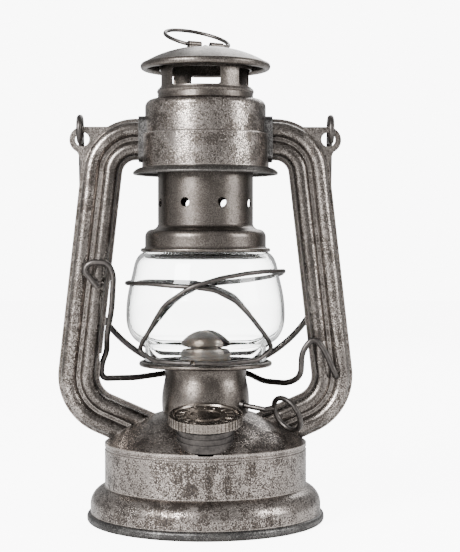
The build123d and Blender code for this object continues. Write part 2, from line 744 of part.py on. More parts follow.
with BuildPart() as hood_collar:
    cap_seat = 240.2
    with BuildSketch(Plane.XY.offset(208.0)):
        Circle(hood_collar_radius)
        Circle(hood_collar_radius - sheet, mode=Mode.SUBTRACT)
    extrude(amount=cap_seat - 208.0)
    for window in range(4):
        middle = math.radians(-13.3 + 90 * window)
        with BuildSketch(Plane(origin=(0, 0, (window_low + window_high) / 2),
                               x_dir=(math.cos(middle), math.sin(middle), 0),
                               z_dir=(math.sin(middle), -math.cos(middle), 0))):
            RectangleRounded(2 * hood_collar_radius * math.sin(math.radians(31.5)),
                             window_high - window_low, 1.5)
        extrude(amount=40, mode=Mode.SUBTRACT)
write(hood_collar, "hood_collar")

with BuildPart() as hood_cap:
    with BuildSketch(Plane.XZ):
        with BuildLine():
            ThreePointArc((cap_radius - 1.2, cap_rim + 1.6), (24.5, 241.4), (11.0, cap_top - 0.1))
            Line((11.0, cap_top - 0.1), (0, cap_top))
            Line((0, cap_top), (0, cap_top - sheet))
            Line((0, cap_top - sheet), (11.0, cap_top - sheet - 0.1))
            ThreePointArc((11.0, cap_top - sheet - 0.1), (24.1, 240.6), (cap_radius - 2.0, cap_rim + 1.0))
            Line((cap_radius - 2.0, cap_rim + 1.0), (cap_radius - 1.2, cap_rim + 1.6))
        make_face()
        with Locations((cap_radius - 2.0, cap_rim)):
            Circle(2.0)
            Circle(1.1, mode=Mode.SUBTRACT)
    revolve(axis=Axis.Z)
    add(hood_collar.part, mode=Mode.SUBTRACT)
write(hood_cap, "hood_cap")

# Two rolled lugs on one bracket hold the ends of the lifting ring.
yaw = math.radians(ring_yaw)
ring_axis = Vector(math.cos(yaw), math.sin(yaw), 0)
ring_back = Vector(-math.sin(yaw), math.cos(yaw), 0)
ring_origin = Vector(0, 0, ring_axis_height)
lug_bore = ring_wire / 2 + 0.06
lug_start = 2.9
lug_end = 10.2
with BuildPart() as ring_clips:
    with BuildSketch(Plane(origin=(0, 0, cap_top + 0.02), x_dir=ring_axis, z_dir=(0, 0, 1))):
        RectangleRounded(2 * lug_end, 4.4, 0.8)
    extrude(amount=0.7)
    for side in (-1, 1):
        lug_plane = Plane(origin=ring_origin + ring_axis * (side * lug_start), z_dir=ring_axis * side)
        with BuildSketch(lug_plane):
            Circle(lug_bore + 0.62)
        extrude(amount=lug_end - lug_start)
    with BuildSketch(Plane(origin=ring_origin - ring_axis * 30, z_dir=ring_axis)):
        Circle(lug_bore)
    extrude(amount=60, mode=Mode.SUBTRACT)
    with BuildSketch(Plane.XY.offset(cap_top - 0.02)):
        Circle(60)
    extrude(amount=-6, mode=Mode.SUBTRACT)
write(ring_clips, "ring_clips")

with BuildPart() as clip_rivet:
    with BuildSketch(Plane.XY.offset(cap_top + 0.72)):
        Circle(1.5)
    extrude(amount=1.0)
    fillet(clip_rivet.faces().sort_by(Axis.Z)[-1].edges(), 0.8)
write(clip_rivet, "clip_rivet")

ring_up = ring_back * math.cos(math.radians(ring_tilt)) + Vector(0, 0, math.sin(math.radians(ring_tilt)))
ring_shift = 0.9
ring_plane = Plane(origin=ring_origin + ring_axis * ring_shift, x_dir=ring_axis,
                   z_dir=ring_axis.cross(ring_up))
loop_rise = math.sqrt(ring_loop_radius**2 - ring_root_half**2)
with BuildPart() as lifting_ring:
    with BuildLine(ring_plane) as ring_path:
        ThreePointArc((-ring_root_half, 0), (0, loop_rise + ring_loop_radius), (ring_root_half, 0))
    with BuildSketch(along(ring_path)):
        Circle(ring_wire / 2)
    sweep(path=ring_path.line)
    for side in (-1, 1):
        root = ring_plane.origin + ring_axis * (side * ring_root_half)
        with Locations(root):
            Sphere(ring_wire / 2)
        with BuildSketch(Plane(origin=root, z_dir=ring_axis * -side)):
            Circle(ring_wire / 2)
        extrude(amount=ring_root_half + side * ring_shift - lug_start - 0.8)
write(lifting_ring, "lifting_ring")


# ---------------------------------------------------------------- bail
# Each arm leaves the back of its eye along a tangent, so the eye can turn in the ear's hole. The eye
# stops short of the arm, where the curled end of the wire would meet it.
lean = math.radians(bail_lean)
bail_down = Vector(0, math.sin(lean), -math.cos(lean))
bail_back = Vector(0, math.cos(lean), math.sin(lean))
bail_hinge = Vector(0, 0, bail_axis_height)
arm_length = 67.0
eye_opening = 62.0


def bail_point(across, back, down):
    """Return a point of the bail at rest, from its hinge line, in the bail's own directions."""
    return bail_hinge + Vector(across, 0, 0) + bail_back * back + bail_down * down


def eye_point(across, turn):
    """Return a point of an eye at an angle in degrees past the place where the arm leaves it."""
    angle = math.radians(turn)
    return bail_point(across, bail_eye_radius * math.cos(angle), -bail_eye_radius * math.sin(angle))


eye_turn = 360 - eye_opening
left = -bail_half_width
right = bail_half_width
with BuildPart() as bail:
    with BuildLine() as bail_path:
        ThreePointArc(eye_point(left, eye_turn), eye_point(left, eye_turn / 2), eye_point(left, 0))
        Line(eye_point(left, 0), bail_point(left, bail_eye_radius, arm_length))
        ThreePointArc(bail_point(left, bail_eye_radius, arm_length),
                      bail_point(0, bail_eye_radius, arm_length + bail_half_width),
                      bail_point(right, bail_eye_radius, arm_length))
        Line(bail_point(right, bail_eye_radius, arm_length), eye_point(right, 0))
        ThreePointArc(eye_point(right, 0), eye_point(right, eye_turn / 2), eye_point(right, eye_turn))
    with BuildSketch(along(bail_path)):
        Circle(bail_wire / 2)
    sweep(path=bail_path.line)
write(bail, "bail")
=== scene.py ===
"""A tubular oil lantern in aged tinplate: its worn finishes, small fittings, a floor, lights and a camera."""

import logging
import math
from dataclasses import dataclass, field
from enum import Enum
from typing import ClassVar

import bpy
from mathutils import Matrix, Vector

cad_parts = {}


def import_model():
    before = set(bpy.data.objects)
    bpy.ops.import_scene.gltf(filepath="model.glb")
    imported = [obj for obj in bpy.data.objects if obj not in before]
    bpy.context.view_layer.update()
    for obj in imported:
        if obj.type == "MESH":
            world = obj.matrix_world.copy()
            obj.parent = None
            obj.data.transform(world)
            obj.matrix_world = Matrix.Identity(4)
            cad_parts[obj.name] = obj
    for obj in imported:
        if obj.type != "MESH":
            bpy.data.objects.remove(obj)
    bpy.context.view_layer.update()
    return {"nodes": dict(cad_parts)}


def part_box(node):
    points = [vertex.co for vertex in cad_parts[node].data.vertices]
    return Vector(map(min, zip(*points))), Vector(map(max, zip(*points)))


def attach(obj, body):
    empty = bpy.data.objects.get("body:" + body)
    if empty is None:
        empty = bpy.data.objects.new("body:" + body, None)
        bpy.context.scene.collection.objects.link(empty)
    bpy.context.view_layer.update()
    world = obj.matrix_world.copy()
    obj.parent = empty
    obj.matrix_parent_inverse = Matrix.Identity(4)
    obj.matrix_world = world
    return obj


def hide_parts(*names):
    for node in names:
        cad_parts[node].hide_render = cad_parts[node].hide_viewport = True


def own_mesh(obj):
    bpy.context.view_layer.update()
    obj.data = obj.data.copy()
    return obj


log = logging.getLogger("lantern")

MM = 0.001
SMOOTH_BELOW = math.radians(40.0)

Colour = tuple[float, float, float]
Point = tuple[float, float, float]


class Body(Enum):
    """The moving groups that new pieces ride on."""

    LANTERN = "lantern"
    CAP = "filler_cap"
    WICK = "wick"


class Slot(Enum):
    """The material slots of the record."""

    WORN = "worn_tin"
    WICK = "cotton_wick"
    WIRE = "wire_steel"


# ---------------------------------------------------------------- shader maths


class Value:
    """A number socket, with the arithmetic operators adding Math nodes."""

    def __init__(self, graph: "Graph", socket: bpy.types.NodeSocket) -> None:
        """Keep the graph and the socket that the value comes from."""
        self.graph = graph
        self.socket = socket

    def _math(self, operation: str, *terms: "Value | float") -> "Value":
        """Add one Math node.

        Args:
            operation: the Math node's operation.
            terms: its inputs, in order.

        Returns:
            The node's result.
        """
        return self.graph.node("ShaderNodeMath", {"operation": operation}, dict(enumerate(terms)))

    def __add__(self, other: "Value | float") -> "Value":
        """Add."""
        return self._math("ADD", self, other)

    __radd__ = __add__

    def __mul__(self, other: "Value | float") -> "Value":
        """Multiply."""
        return self._math("MULTIPLY", self, other)

    __rmul__ = __mul__

    def __sub__(self, other: "Value | float") -> "Value":
        """Subtract other from this."""
        return self._math("SUBTRACT", self, other)

    def __rsub__(self, other: float) -> "Value":
        """Subtract this from a number."""
        return self._math("SUBTRACT", other, self)

    def __lt__(self, limit: float) -> "Value":
        """Give 1 where this is below the limit, and 0 elsewhere."""
        return self._math("LESS_THAN", self, limit)

    def sine(self) -> "Value":
        """Give the sine."""
        return self._math("SINE", self)

    def size(self) -> "Value":
        """Give the absolute value."""
        return self._math("ABSOLUTE", self)

    def step(self, low: float, high: float) -> "Value":
        """Rise smoothly from 0 at low to 1 at high.

        Args:
            low: where the rise starts.
            high: where it ends.

        Returns:
            The eased value from 0 to 1.
        """
        settings = {"interpolation_type": "SMOOTHSTEP"}
        return self.graph.node("ShaderNodeMapRange", settings, {0: self, 1: low, 2: high, 3: 0.0, 4: 1.0})


class Graph:
    """A node tree, with a single way to add a node."""

    def __init__(self, tree: bpy.types.NodeTree) -> None:
        """Keep the tree that nodes are added to."""
        self.tree = tree

    def node(self, kind: str, settings: dict | None = None, inputs: dict | None = None,
             result: int | str = 0) -> Value:
        """Add a node, set it up, and give one of its results.

        Args:
            kind: the node's type.
            settings: attributes, set before the sockets.
            inputs: socket names or numbers, each with a value or a link.
            result: the output wanted, by number or name.

        Returns:
            The chosen output.
        """
        node = self.tree.nodes.new(kind)
        for name, value in (settings or {}).items():
            setattr(node, name, value)
        for name, value in (inputs or {}).items():
            self.feed(node.inputs[name], value)
        return Value(self, node.outputs[result])

    def feed(self, socket: bpy.types.NodeSocket, value: "Value | float | tuple") -> None:
        """Link or set one input socket."""
        if isinstance(value, Value):
            self.tree.links.new(value.socket, socket)
        else:
            if isinstance(value, tuple) and socket.type == "RGBA" and len(value) == 3:
                value = (*value, 1.0)
            socket.default_value = value

    def seen_straight(self) -> Value:
        """Give 1 for what is seen directly or straight through glass, and 0 for reflections and lighting."""
        rays = "ShaderNodeLightPath"
        bounces = self.node(rays, result="Glossy Depth") + self.node(rays, result="Diffuse Depth")
        through = self.node(rays, result="Is Transmission Ray") * (bounces < 0.5)
        return self.node(rays, result="Is Camera Ray") + through


class Surface(Graph):
    """A material's node tree round one Principled shader."""

    def __init__(self, name: str) -> None:
        """Make a material with a Principled shader.

        Args:
            name: the material's name.
        """
        self.material = bpy.data.materials.new(name)
        self.material.use_nodes = True
        super().__init__(self.material.node_tree)
        self.tree.nodes.clear()
        output = self.tree.nodes.new("ShaderNodeOutputMaterial")
        self.shader = self.tree.nodes.new("ShaderNodeBsdfPrincipled")
        self.tree.links.new(self.shader.outputs[0], output.inputs[0])

    def sockets(self, **values: "Value | float | tuple") -> None:
        """Set or link the Principled shader's sockets, underscores standing for spaces."""
        for name, value in values.items():
            self.feed(self.shader.inputs[name.replace("_", " ").title().replace("Ior", "IOR")], value)

    def place(self) -> Value:
        """Give object coordinates, in metres."""
        return self.node("ShaderNodeTexCoord", result="Object")

    def stretched(self, scale: Point) -> Value:
        """Give object coordinates, scaled along each axis.

        Args:
            scale: the factor along X, Y and Z.

        Returns:
            The scaled coordinates.
        """
        return self.node("ShaderNodeMapping", {}, {"Vector": self.place(), "Scale": scale})

    def axis(self, letter: str) -> Value:
        """Give one object coordinate, in metres."""
        return self.node("ShaderNodeSeparateXYZ", {}, {0: self.place()}, letter)

    def noise(self, per_metre: float, detail: float = 4.0, rough: float = 0.55,
              scale: Point = (1.0, 1.0, 1.0)) -> Value:
        """Give a noise from 0 to 1.

        Args:
            per_metre: how many swells there are in a metre.
            detail: octaves of finer noise.
            rough: how strong the finer octaves are.
            scale: how far the noise is squeezed along each axis.

        Returns:
            The noise's value.
        """
        inputs = {"Vector": self.stretched(scale), "Scale": per_metre, "Detail": detail, "Roughness": rough}
        return self.node("ShaderNodeTexNoise", {}, inputs)

    def cells(self, per_metre: float, jitter: float = 1.0) -> Value:
        """Give the distance to the nearest of scattered points, in cells."""
        inputs = {"Vector": self.place(), "Scale": per_metre, "Randomness": jitter}
        return self.node("ShaderNodeTexVoronoi", {}, inputs)

    def mix(self, share: Value | float, low: "Value | Colour", high: "Value | Colour") -> Value:
        """Blend two colours.

        Args:
            share: 0 for the first colour, 1 for the second.
            low: the first colour.
            high: the second colour.

        Returns:
            The blended colour.
        """
        return self.node("ShaderNodeMix", {"data_type": "RGBA"}, {0: share, 6: low, 7: high}, 2)

    def crevice(self, reach: float) -> Value:
        """Give 1 deep in corners and 0 on open faces, looking reach metres round."""
        open_share = self.node("ShaderNodeAmbientOcclusion", {"samples": 6, "only_local": False},
                               {"Distance": reach}, "AO")
        return 1.0 - open_share

    def edge(self, radius: float) -> Value:
        """Give a value that rises on edges sharper than the radius."""
        bent = self.node("ShaderNodeBevel", {"samples": 4}, {"Radius": radius})
        flat = self.node("ShaderNodeNewGeometry", result="Normal")
        along = self.node("ShaderNodeVectorMath", {"operation": "DOT_PRODUCT"}, {0: bent, 1: flat}, "Value")
        return 1.0 - along

    def bump(self, height: Value, depth: float, strength: float = 1.0) -> None:
        """Raise the surface by a height map, depth metres from its 0 to its 1."""
        inputs = {"Height": height, "Distance": depth, "Strength": strength}
        self.sockets(normal=self.node("ShaderNodeBump", {}, inputs))


# ---------------------------------------------------------------- finishes


@dataclass(frozen=True)
class Tinplate:
    """Old tinplate that has gone grey, pitted with dark specks and rubbed bright on its edges, with painted
    highlights on its edges and painted shade in its corners.

    Attributes:
        name: the material's name.
        dark: colour of the specks and of the painted shade in corners.
        mid: the main grey.
        light: colour where it is rubbed, also used for the painted edge highlight.
        smudge_and_shade: colour of the smooth dark smudges, and of the painted shade on the tubes' inner
            halves.
        specks: share of the surface that is specked, from 0 to 1.
        smudges: strength of the smudges.
        streaks: strength of the upright streaks.
        edge_wear_and_highlight: strength of the rubbed edges and of their painted highlight.
        roughness: the least roughness.
        inner_painted_shade: how strongly the side tubes' halves that face the globe are darkened as painted
            shade.
        seam_foot: how far from the axis the tubes' middle groove would meet the floor.
        seam_lean: how much nearer the axis the groove comes for its height.
    """

    name: str
    dark: Colour = (0.018, 0.014, 0.012)
    mid: Colour = (0.080, 0.067, 0.058)
    light: Colour = (0.52, 0.465, 0.425)
    smudge_and_shade: Colour = (0.050, 0.044, 0.040)
    specks: float = 0.5
    smudges: float = 0.5
    streaks: float = 0.3
    edge_wear_and_highlight: float = 1.0
    roughness: float = 0.25
    inner_painted_shade: float = 0.0
    seam_foot: float = 68.1 * MM
    seam_lean: float = 0.0865

    def make(self) -> bpy.types.Material:
        """Build the material."""
        graph = Surface(self.name)
        clouds = graph.noise(34.0, 3.0)
        patches = graph.noise(150.0, 5.0, 0.65)
        streak = graph.noise(1.0, 4.0, 0.6, (480.0, 480.0, 24.0))
        salt = graph.noise(1700.0, 1.5, 0.5)
        pepper = graph.noise(1350.0, 1.5, 0.5, (1.07, 0.93, 0.89))
        drift = (clouds - 0.5) * 0.6 + (patches - 0.5) * 0.5 + (streak - 0.5) * self.streaks
        worn = (salt * 0.75 + patches * 0.25 + drift * 0.6).step(0.45, 0.60)
        base = graph.mix(worn, self.mid, self.light)
        limit = 0.66 - 0.16 * self.specks
        pits = (pepper - drift * 0.35).step(limit, limit + 0.05)
        smudge = (clouds * 0.5 + patches * 0.3 + streak * 0.2).step(0.49, 0.60) * self.smudges
        # painted shade: darkens corners and recesses found by ambient occlusion, which are also made rougher
        # and less metallic
        crevice_shade = graph.crevice(0.006).step(0.25, 0.85)
        # rubbed edges and a painted highlight: brightens sharp edges found by the bevel normal
        edge_wear_and_highlight = (graph.edge(0.0010) * 8.0).step(0.05, 0.9) * self.edge_wear_and_highlight * (1.0 - crevice_shade)
        stained = graph.mix(smudge, graph.mix(pits * 0.9, base, self.dark), self.smudge_and_shade)
        # lays the painted corner shade over the real pits and smudges
        stained_and_shaded = graph.mix(crevice_shade * 0.85, stained, self.dark)
        # painted shade: darkens the tubes' halves that face the globe, nearer the axis than their middle
        # groove
        if self.inner_painted_shade:
            seam = self.seam_foot - graph.axis("Z") * self.seam_lean
            inside = (seam - graph.axis("X").size()).step(-1.0 * MM, 1.0 * MM)
            stained_and_shaded = graph.mix(inside * self.inner_painted_shade, stained_and_shaded, self.smudge_and_shade)
        # paints the edge wear and the edge highlight in the light colour
        colour = graph.mix(edge_wear_and_highlight * 0.8, stained_and_shaded, self.light)
        rough = self.roughness + pits * 0.22 + crevice_shade * 0.25 + (1.0 - worn) * 0.05 - edge_wear_and_highlight * 0.10
        graph.sockets(base_color=colour, metallic=1.0 - (pits * 0.4 + crevice_shade * 0.4), roughness=rough)
        graph.bump(patches * 0.5 + salt * 0.25 + streak * 0.15 - pits * 0.25, 0.00020, 0.55)
        return graph.material


@dataclass(frozen=True)
class Wire:
    """Drawn steel wire, dark with age and a little polished where it is handled, with painted shade in its
    corners.
    """

    name: str
    dark: Colour = (0.035, 0.032, 0.031)
    light: Colour = (0.125, 0.113, 0.105)
    roughness: float = 0.30

    def make(self) -> bpy.types.Material:
        """Build the material."""
        graph = Surface(self.name)
        mottle = graph.noise(220.0, 5.0, 0.65)
        spots = graph.noise(1100.0, 2.0, 0.6)
        share = (mottle * 0.7 + spots * 0.3).step(0.25, 0.8)
        # painted shade: darkens corners found by ambient occlusion, which are also made rougher and less
        # metallic
        crevice_shade = graph.crevice(0.004).step(0.35, 0.9)
        colour = graph.mix(crevice_shade * 0.8, graph.mix(share, self.dark, self.light), self.dark)
        graph.sockets(base_color=colour, metallic=1.0 - crevice_shade * 0.4,
                      roughness=self.roughness + (1.0 - share) * 0.22 + crevice_shade * 0.2)
        graph.bump(mottle * 0.5 + spots * 0.5, 0.00005, 0.4)
        return graph.material


@dataclass(frozen=True)
class Burner:
    """Nickelled burner metal, warm, satin and smoked near the flame, with painted shade in its corners."""

    name: str
    warm: Colour = (0.30, 0.235, 0.185)
    grey: Colour = (0.21, 0.19, 0.172)
    # colour of the soot near the flame, and of the painted shade in corners
    soot_and_shade: Colour = (0.03, 0.026, 0.024)
    smoke_from: float = 0.110
    smoke_to: float = 0.124

    def make(self) -> bpy.types.Material:
        """Build the material."""
        graph = Surface(self.name)
        patches = graph.noise(120.0, 5.0, 0.6)
        fine = graph.noise(900.0, 2.0, 0.6)
        tarnish = graph.mix(patches.step(0.35, 0.65), self.grey, self.warm)
        height = graph.axis("Z") + (patches - 0.5) * 0.006
        smoke = height.step(self.smoke_from, self.smoke_to) * 0.65
        # painted shade: darkens corners found by ambient occlusion towards the soot colour
        crevice_shade = graph.crevice(0.004).step(0.3, 0.9) * 0.7
        colour = graph.mix(smoke, graph.mix(crevice_shade, tarnish, self.soot_and_shade), self.soot_and_shade)
        graph.sockets(base_color=colour, metallic=1.0 - smoke * 0.5 - crevice_shade * 0.3,
                      roughness=0.28 + patches * 0.14 + smoke * 0.3)
        graph.bump(patches * 0.6 + fine * 0.4, 0.00010, 0.4)
        return graph.material


@dataclass(frozen=True)
class Glass:
    """Thin clear lamp glass."""

    name: str
    tint: Colour = (0.985, 0.995, 0.99)

    def make(self) -> bpy.types.Material:
        """Build the material."""
        graph = Surface(self.name)
        smear = graph.noise(60.0, 3.0)
        graph.sockets(base_color=self.tint, transmission_weight=1.0, ior=1.45, metallic=0.0,
                      roughness=0.015 + smear * 0.02)
        return graph.material


@dataclass(frozen=True)
class Cotton:
    """Flat woven cotton tape, charred along its lit edge."""

    name: str
    yarn: Colour = (0.60, 0.54, 0.43)
    shade: Colour = (0.30, 0.25, 0.18)
    char: Colour = (0.012, 0.010, 0.009)
    pitch: float = 0.0009
    char_from: float = 0.1135

    def make(self) -> bpy.types.Material:
        """Build the material."""
        graph = Surface(self.name)
        wave = 2.0 * math.pi / self.pitch
        ribs = (graph.axis("X") * wave).sine() * 0.5 + 0.5
        picks = (graph.axis("Z") * wave * 1.6).sine() * 0.5 + 0.5
        weave = ribs * 0.6 + picks * 0.4
        fluff = graph.noise(2500.0, 2.0)
        cloth = graph.mix(weave * 0.7 + fluff * 0.3, self.shade, self.yarn)
        burnt = (graph.axis("Z") + (fluff - 0.5) * 0.002).step(self.char_from - 0.002, self.char_from)
        graph.sockets(base_color=graph.mix(burnt, cloth, self.char), roughness=0.95)
        graph.bump(weave * 0.8 + fluff * 0.2, 0.00025, 0.8)
        return graph.material


@dataclass(frozen=True)
class Cork:
    """Pressed cork granules."""

    name: str
    light: Colour = (0.34, 0.22, 0.12)
    dark: Colour = (0.08, 0.045, 0.025)

    def make(self) -> bpy.types.Material:
        """Build the material."""
        graph = Surface(self.name)
        grains = graph.cells(900.0)
        fine = graph.noise(2200.0, 2.0)
        share = grains * 0.7 + fine * 0.3
        graph.sockets(base_color=graph.mix(share.step(0.2, 0.7), self.light, self.dark), roughness=0.9)
        graph.bump(1.0 - share, 0.0002, 0.6)
        return graph.material


@dataclass
class Finishes:
    """Every finish of the lantern, and which CAD nodes wear it."""

    tank: Tinplate = Tinplate("tank_tin", specks=0.75, smudges=0.45, streaks=0.35)
    tubes: Tinplate = Tinplate("tube_tin", mid=(0.090, 0.077, 0.067), specks=0.45, smudges=0.6, streaks=0.2,
                               inner_painted_shade=0.6)
    drum: Tinplate = Tinplate("drum_tin", mid=(0.088, 0.075, 0.065), specks=0.60, smudges=0.6, streaks=0.2)
    flue: Tinplate = Tinplate("flue_tin", mid=(0.092, 0.080, 0.070), light=(0.20, 0.176, 0.158), specks=0.15,
                              streaks=0.35, roughness=0.28)
    foot: Tinplate = Tinplate("foot_tin", mid=(0.055, 0.053, 0.052), light=(0.17, 0.165, 0.16), specks=0.2,
                              streaks=0.1, roughness=0.38)
    inner: Tinplate = Tinplate("inner_tin", mid=(0.07, 0.066, 0.062), light=(0.18, 0.17, 0.16), specks=0.35,
                               streaks=0.2, edge_wear_and_highlight=0.5, roughness=0.42)
    cap: Tinplate = Tinplate("cap_tin", mid=(0.085, 0.071, 0.060), light=(0.36, 0.315, 0.275), specks=0.1,
                             smudges=0.5, streaks=0.1, roughness=0.26)
    wire: Wire = Wire("dark_wire")
    burner: Burner = Burner("burner_metal")
    glass: Glass = Glass("lamp_glass")
    cotton: Cotton = Cotton("wick_cotton")
    cork: Cork = Cork("cork")
    made: dict[str, bpy.types.Material] = field(default_factory=dict)

    wearers: ClassVar[dict[str, tuple[str, ...]]] = {
        "tank": ("tank_shell", "tank_dome"),
        "cap": ("filler_cap",),
        "tubes": ("left_tube_front", "left_tube_back", "right_tube_front", "right_tube_back",
                  "left_bail_ear", "right_bail_ear"),
        "drum": ("drum_band", "drum_canopy"),
        "flue": ("chimney_tube", "chimney_skirt", "hood_collar", "hood_cap", "ring_clips", "clip_rivet",
                 "burner_throat", "globe_plate"),
        "foot": ("foot_ring", "left_tube_collar", "right_tube_collar"),
        "inner": ("tank_bottom", "air_duct", "drum_floor", "spring_seat", "burner_seat"),
        "wire": ("bail", "globe_guard", "globe_lifter", "lifting_ring", "wick_shaft", "shaft_bush",
                 "hood_spring", "filler_neck"),
        "burner": ("burner_cone", "burner_deck", "cone_collar", "wick_tube", "wick_wheels"),
        "glass": ("globe",),
        "cotton": ("wick",),
        "cork": ("filler_gasket",),
    }

    def material(self, finish: str) -> bpy.types.Material:
        """Give a finish's material, made on first use."""
        if finish not in self.made:
            self.made[finish] = getattr(self, finish).make()
        return self.made[finish]

    def dress(self, piece: bpy.types.Object, finish: str) -> None:
        """Give a piece one finish all over.

        Args:
            piece: a CAD node's object or a new piece.
            finish: the name of a finish of this class.
        """
        if piece.material_slots:
            for place in piece.material_slots:
                place.material = self.material(finish)
        else:
            piece.data.materials.append(self.material(finish))

    def dress_frame(self, nodes: dict[str, bpy.types.Object]) -> None:
        """Give every CAD node its finish."""
        for finish, names in self.wearers.items():
            for name in names:
                self.dress(nodes[name], finish)
        log.info("dressed %d nodes", sum(len(names) for names in self.wearers.values()))


# ---------------------------------------------------------------- modelling


def deselect() -> None:
    """Leave object mode and deselect everything."""
    if bpy.context.object and bpy.context.object.mode != "OBJECT":
        bpy.ops.object.mode_set(mode="OBJECT")
    bpy.ops.object.select_all(action="DESELECT")


def pick(piece: bpy.types.Object) -> None:
    """Make one piece the only selected object."""
    deselect()
    piece.select_set(True)
    bpy.context.view_layer.objects.active = piece


def block(name: str, size: Point, place: Point, edge: float) -> bpy.types.Object:
    """Model a block with rounded edges.

    Args:
        name: the piece's name.
        size: its length along X, Y and Z.
        place: its centre.
        edge: how wide its edges are rounded.

    Returns:
        The block, with its place in its mesh.
    """
    deselect()
    bpy.ops.mesh.primitive_cube_add(size=1.0, location=place, scale=size)
    piece = bpy.context.object
    piece.name = name
    settle(piece)
    bpy.ops.object.mode_set(mode="EDIT")
    bpy.ops.mesh.select_all(action="SELECT")
    bpy.ops.mesh.bevel(offset=edge, segments=3)
    bpy.ops.object.mode_set(mode="OBJECT")
    return piece


def settle(piece: bpy.types.Object) -> None:
    """Move a piece's place, turn and scale into its mesh."""
    pick(piece)
    bpy.ops.object.transform_apply(location=True, rotation=True, scale=True)


def copied(piece: bpy.types.Object, turn: Matrix) -> bpy.types.Object:
    """Copy a piece with its own mesh, and move the copy's mesh."""
    pick(piece)
    bpy.ops.object.duplicate(linked=False)
    copy = bpy.context.object
    copy.matrix_world = turn
    settle(copy)
    return copy


def joined(parts: list[bpy.types.Object], name: str) -> bpy.types.Object:
    """Join pieces into one, smooth but for its edges.

    Args:
        parts: the pieces, the first of which stays.
        name: the joined piece's name.

    Returns:
        The joined piece.
    """
    deselect()
    for part in parts:
        part.select_set(True)
    bpy.context.view_layer.objects.active = parts[0]
    bpy.ops.object.join()
    whole = bpy.context.object
    whole.name = name
    bpy.ops.object.shade_smooth_by_angle(angle=SMOOTH_BELOW)
    return whole


# ---------------------------------------------------------------- small fittings


@dataclass
class LockSeams:
    """The folded seams down the backs of the tank and the drum."""

    width: float = 4.6 * MM
    proud: float = 0.55 * MM
    sunk: float = 0.5 * MM
    groove: float = 0.8 * MM
    edge: float = 0.2 * MM
    drum_radius: float = 33.0 * MM
    drum_low: float = 186.0 * MM
    drum_high: float = 198.5 * MM
    wall_radius: float = 52.5 * MM
    wall_low: float = 19.2 * MM
    wall_high: float = 36.6 * MM

    def seam(self, name: str, radius: float, low: float, high: float) -> bpy.types.Object:
        """Model one seam on the back of an upright wall.

        Args:
            name: the piece's name.
            radius: the wall's radius.
            low: the seam's lower end.
            high: its upper end.

        Returns:
            The seam, a wide fold with a narrower one pressed on it.
        """
        depth = self.proud + self.sunk
        middle = radius - self.sunk + depth / 2.0
        height = high - low
        wide = block(name, (self.width, depth, height), (0.0, middle, (low + high) / 2.0), self.edge)
        narrow_width = self.width - 2.0 * self.groove
        narrow = block(name + "_fold", (narrow_width, depth, height - self.groove),
                       (0.0, middle + self.proud / 2.0, (low + high) / 2.0), self.edge)
        return joined([wide, narrow], name)

    def build(self, finishes: Finishes) -> None:
        """Model both seams and dress them."""
        for name, finish, radius, low, high in (
                ("tank_seam", "tank", self.wall_radius, self.wall_low, self.wall_high),
                ("drum_seam", "drum", self.drum_radius, self.drum_low, self.drum_high)):
            piece = self.seam(name, radius, low, high)
            finish_piece(piece, Body.LANTERN, finish, finishes)


@dataclass
class CapRelief:
    """Worn raised bars round the dished top of the filler cap."""

    centre: Point = (0.0, -42.4 * MM, 59.85 * MM)
    tilt: float = math.radians(11.0)
    dish: float = 0.7 * MM
    bars: int = 16
    radius: float = 12.5 * MM
    length: float = 3.8 * MM
    width: float = 1.3 * MM
    height: float = 0.45 * MM
    sunk: float = 0.1 * MM
    edge: float = 0.15 * MM

    def build(self, finishes: Finishes) -> None:
        """Model the bars, one beside the other, and dress them."""
        lie = Matrix.Translation(self.centre) @ Matrix.Rotation(self.tilt, 4, "X")
        middle = -self.dish + self.height / 2.0 - self.sunk
        first = block("cap_relief", (self.length, self.width, self.height), (self.radius, 0.0, middle),
                      self.edge)
        parts = []
        for number in range(self.bars):
            turn = Matrix.Rotation(math.tau * number / self.bars, 4, "Z")
            parts.append(copied(first, lie @ turn))
        bpy.data.objects.remove(first)
        finish_piece(joined(parts, "cap_relief"), Body.CAP, "cap", finishes)


@dataclass
class WickFringe:
    """Charred yarn ends that stand up from the wick's lit edge."""

    across: float = math.radians(64.0)
    half_width: float = 5.9 * MM
    half_depth: float = 0.5 * MM
    ends: int = 15
    length: float = 1.3 * MM
    thick: float = 0.34 * MM
    thin: float = 0.10 * MM
    rooted: float = 0.3 * MM
    sides: int = 7
    lean: float = 0.25
    sway: float = 0.30

    def build(self, finishes: Finishes) -> None:
        """Model one yarn end, copy it along the edge, and dress the fringe."""
        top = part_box("wick")[1][2]
        stand = Matrix.Translation((0.0, 0.0, top)) @ Matrix.Rotation(self.across - math.pi / 2.0, 4, "Z")
        deselect()
        middle = (0.0, 0.0, self.length / 2.0 - self.rooted)
        bpy.ops.mesh.primitive_cone_add(vertices=self.sides, radius1=self.thick, radius2=self.thin,
                                        depth=self.length, location=middle)
        first = bpy.context.object
        settle(first)
        bpy.ops.object.mode_set(mode="EDIT")
        bpy.ops.mesh.select_all(action="SELECT")
        bpy.ops.mesh.subdivide(number_cuts=1, smoothness=0.6)
        bpy.ops.object.mode_set(mode="OBJECT")
        parts = []
        for row in (-1.0, 1.0):
            for number in range(self.ends):
                along = self.half_width * (2.0 * number / (self.ends - 1) - 1.0)
                lean = Matrix.Rotation(self.lean * math.sin(5.1 * number + row), 4, "X")
                sway = Matrix.Rotation(self.sway * math.sin(3.7 * number - row), 4, "Y")
                place = Matrix.Translation((along, row * self.half_depth, 0.0))
                parts.append(copied(first, stand @ place @ lean @ sway))
        bpy.data.objects.remove(first)
        finish_piece(joined(parts, "wick_fringe"), Body.WICK, "cotton", finishes)


